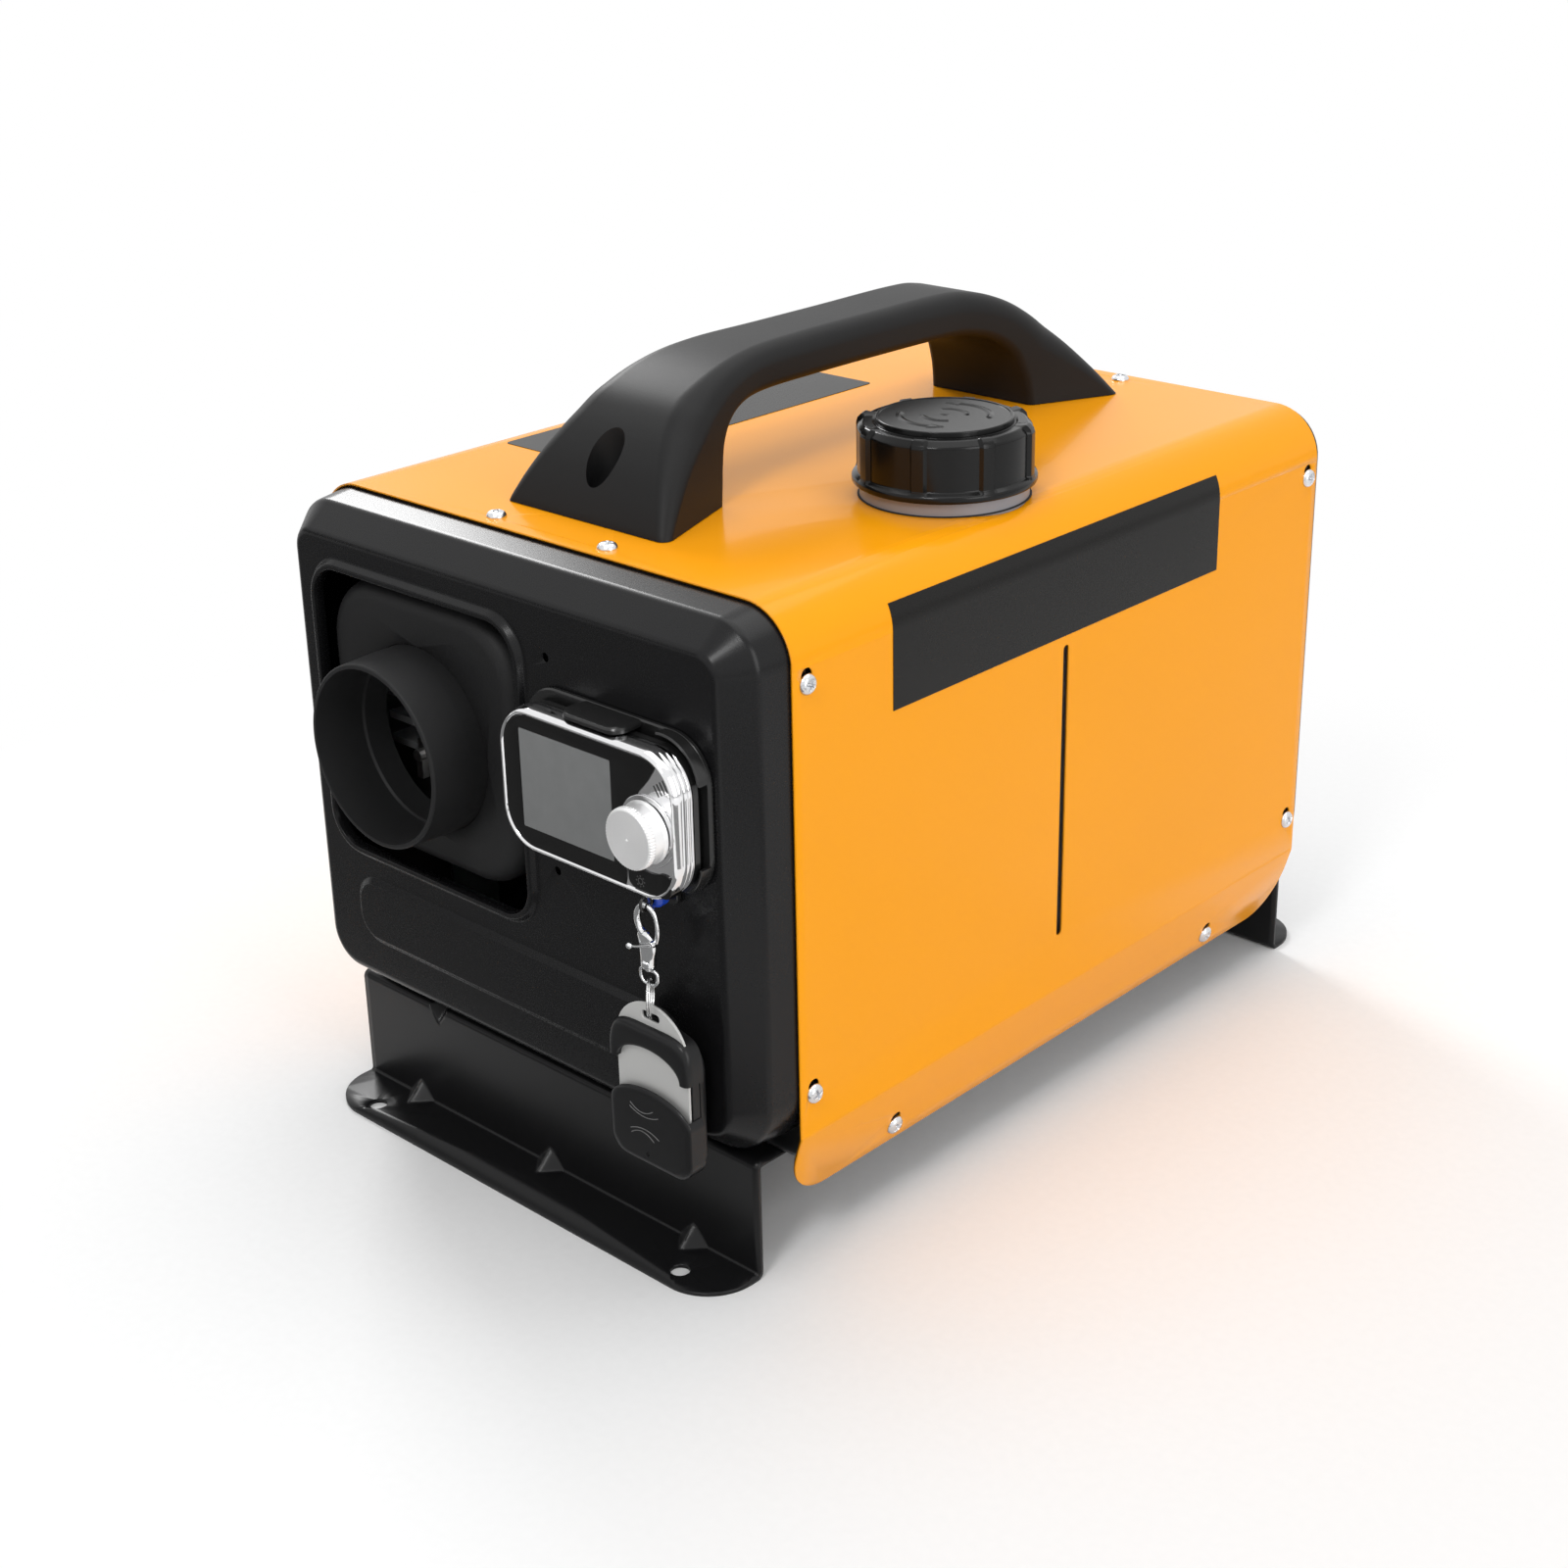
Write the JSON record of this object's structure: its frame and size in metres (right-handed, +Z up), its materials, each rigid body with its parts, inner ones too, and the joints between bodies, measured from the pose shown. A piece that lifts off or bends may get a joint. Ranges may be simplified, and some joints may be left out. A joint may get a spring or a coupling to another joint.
{
  "type": "portable diesel air heater",
  "caption": "Portable diesel air heater: a sheet-metal case on angle feet with a carry handle, a capped fuel tank, a round air duct outlet, a clipped-on controller and a hanging remote fob.",
  "frame": {"origin": "on the floor under the middle of the whole object", "axes": "+X to the right as seen from the front, +Y from the duct outlet side to the rear, +Z up"},
  "size_m": [0.261, 0.4248, 0.3247],
  "materials": {
    "shell_orange": "glossy powder coat",
    "cover_black": "satin powder coat",
    "foot_black": "satin powder coat",
    "tray_steel": "galvanised sheet",
    "handle_plastic": "fine grain",
    "screw_zinc": "zinc plated",
    "tank_plastic": "blow moulded",
    "cap_plastic": "semi-gloss moulded",
    "seal_rubber": "smooth rubber",
    "duct_plastic": "fine texture",
    "heater_plastic": "glass-filled moulding",
    "exchanger_alloy": "as cast",
    "burner_steel": "plain steel",
    "motor_steel": "zinc plated",
    "fan_plastic": "moulded",
    "line_rubber": "hose",
    "board_green": "solder mask",
    "gland_plastic": "moulded nylon",
    "holder_plastic": "smooth moulded",
    "bezel_chrome": "polished",
    "face_gloss": "high gloss",
    "screen_grey": "display off",
    "knob_chrome": "polished with a knurled edge",
    "encoder_steel": "turned",
    "button_gloss": "high gloss",
    "clasp_chrome": "nickel plated",
    "ring_steel": "bright wire",
    "fob_black": "satin moulded",
    "fob_silver": "satin silver",
    "fob_rubber": "moulded keys"
  },
  "bodies": {
    "casing": {"outer_shell": "shell_orange", "front_cover": "cover_black", "rear_cover": "cover_black", "base_tray": "tray_steel", "front_foot": "foot_black", "rear_foot": "foot_black", "carry_handle": "handle_plastic", "handle_screw_front": "screw_zinc", "handle_screw_rear": "screw_zinc", "fuel_tank": "tank_plastic", "neck_seal": "seal_rubber", "duct_outlet": "duct_plastic", "heater_cowl": "duct_plastic", "heater_case_lower": "heater_plastic", "heater_case_upper": "heater_plastic", "heat_exchanger": "exchanger_alloy", "combustion_chamber": "burner_steel", "glow_plug": "burner_steel", "combustion_air_cup": "exchanger_alloy", "blower_motor": "motor_steel", "heater_stand_front": "tray_steel", "heater_stand_rear": "tray_steel", "exhaust_pipe": "burner_steel", "air_intake_pipe": "heater_plastic", "fuel_pump": "motor_steel", "pump_clamp": "seal_rubber", "fuel_supply_line": "line_rubber", "fuel_feed_line": "line_rubber", "control_board": "board_green", "wiring_loom": "line_rubber", "overheat_sensor": "burner_steel", "intake_grille": "duct_plastic", "power_gland": "gland_plastic", "controller_holder": "holder_plastic", "controller_back": "holder_plastic", "controller_bezel": "bezel_chrome", "controller_face": "face_gloss", "controller_screen": "screen_grey"},
    "blower_rotor": {"motor_shaft": "motor_steel", "combustion_air_wheel": "exchanger_alloy", "hot_air_fan": "fan_plastic"},
    "cap_seal": {"cap_gasket": "seal_rubber"},
    "cap": {"filler_cap": "cap_plastic"},
    "knob_stem": {"encoder_shaft": "encoder_steel"},
    "knob": {"control_knob": "knob_chrome"},
    "power_key": {"power_button": "button_gloss"},
    "clasp": {"clasp_body": "clasp_chrome"},
    "gate": {"clasp_gate": "clasp_chrome"},
    "swivel": {"clasp_swivel": "clasp_chrome"},
    "ring": {"split_ring": "ring_steel"},
    "fob": {"fob_case": "fob_black", "fob_plate": "fob_silver", "fob_hood": "fob_black"},
    "fob_slider": {"fob_cover": "fob_black"},
    "fob_key_1": {"fob_button_1": "fob_rubber"},
    "fob_key_2": {"fob_button_2": "fob_rubber"},
    "fob_key_3": {"fob_button_3": "fob_rubber"},
    "fob_key_4": {"fob_button_4": "fob_rubber"}
  },
  "joints": [
    {"name": "blower_spin", "type": "hinge", "parent": "casing", "child": "blower_rotor", "pos_m": [-0.0487, 0.10185, 0.1819], "axis": [0, 1, 0], "continuous": true},
    {"name": "cap_lift", "type": "slide", "parent": "casing", "child": "cap_seal", "axis": [0, 0, 1], "range_m": [0, 0.012]},
    {"name": "cap_turn", "type": "hinge", "parent": "cap_seal", "child": "cap", "pos_m": [0.082, -0.02105, 0.285], "axis": [0, 0, 1], "range_deg": [0, 720]},
    {"name": "knob_press", "type": "slide", "parent": "casing", "child": "knob_stem", "axis": [0, 1, 0], "range_m": [0, 0.0006], "stiffness_N_per_m": 800, "springref_m": -0.0006},
    {"name": "knob_turn", "type": "hinge", "parent": "knob_stem", "child": "knob", "pos_m": [0.0987, -0.20815, 0.1928], "axis": [0, 1, 0], "continuous": true},
    {"name": "power_press", "type": "slide", "parent": "casing", "child": "power_key", "axis": [0, 1, 0], "range_m": [0, 0.0006], "stiffness_N_per_m": 500, "springref_m": -0.0006},
    {"name": "clasp_swing", "type": "hinge", "parent": "casing", "child": "clasp", "pos_m": [0.0925, -0.19915, 0.1593], "axis": [0, 1, 0], "range_deg": [-15, 15]},
    {"name": "gate_open", "type": "hinge", "parent": "clasp", "child": "gate", "pos_m": [0.0964, -0.19915, 0.147], "axis": [0, 1, 0], "range_deg": [-22, 0], "stiffness_Nm_per_rad": 0.004, "springref_deg": 11.46},
    {"name": "swivel_turn", "type": "hinge", "parent": "clasp", "child": "swivel", "pos_m": [0.0925, -0.19915, 0.137], "axis": [0, 0, 1], "range_deg": [-8, 8]},
    {"name": "ring_swing", "type": "hinge", "parent": "swivel", "child": "ring", "pos_m": [0.0925, -0.19915, 0.12915], "axis": [1, 0, 0], "range_deg": [-35, 0]},
    {"name": "fob_swing", "type": "hinge", "parent": "ring", "child": "fob", "pos_m": [0.0925, -0.19915, 0.1164], "axis": [0, 1, 0], "range_deg": [-20, 20]},
    {"name": "fob_cover_slide", "type": "slide", "parent": "fob", "child": "fob_slider", "axis": [0, 0, -1], "range_m": [0, 0.02]},
    {"name": "fob_press_1", "type": "slide", "parent": "fob", "child": "fob_key_1", "axis": [0, 1, 0], "range_m": [0, 0.0005], "stiffness_N_per_m": 200, "springref_m": -0.0005},
    {"name": "fob_press_2", "type": "slide", "parent": "fob", "child": "fob_key_2", "axis": [0, 1, 0], "range_m": [0, 0.0005], "stiffness_N_per_m": 200, "springref_m": -0.0005},
    {"name": "fob_press_3", "type": "slide", "parent": "fob", "child": "fob_key_3", "axis": [0, 1, 0], "range_m": [0, 0.0005], "stiffness_N_per_m": 200, "springref_m": -0.0005},
    {"name": "fob_press_4", "type": "slide", "parent": "fob", "child": "fob_key_4", "axis": [0, 1, 0], "range_m": [0, 0.0005], "stiffness_N_per_m": 200, "springref_m": -0.0005}
  ],
  "couplings": [
    {"joint": "cap_lift", "follows": "cap_turn", "m_per_rad": 0.000954}
  ]
}
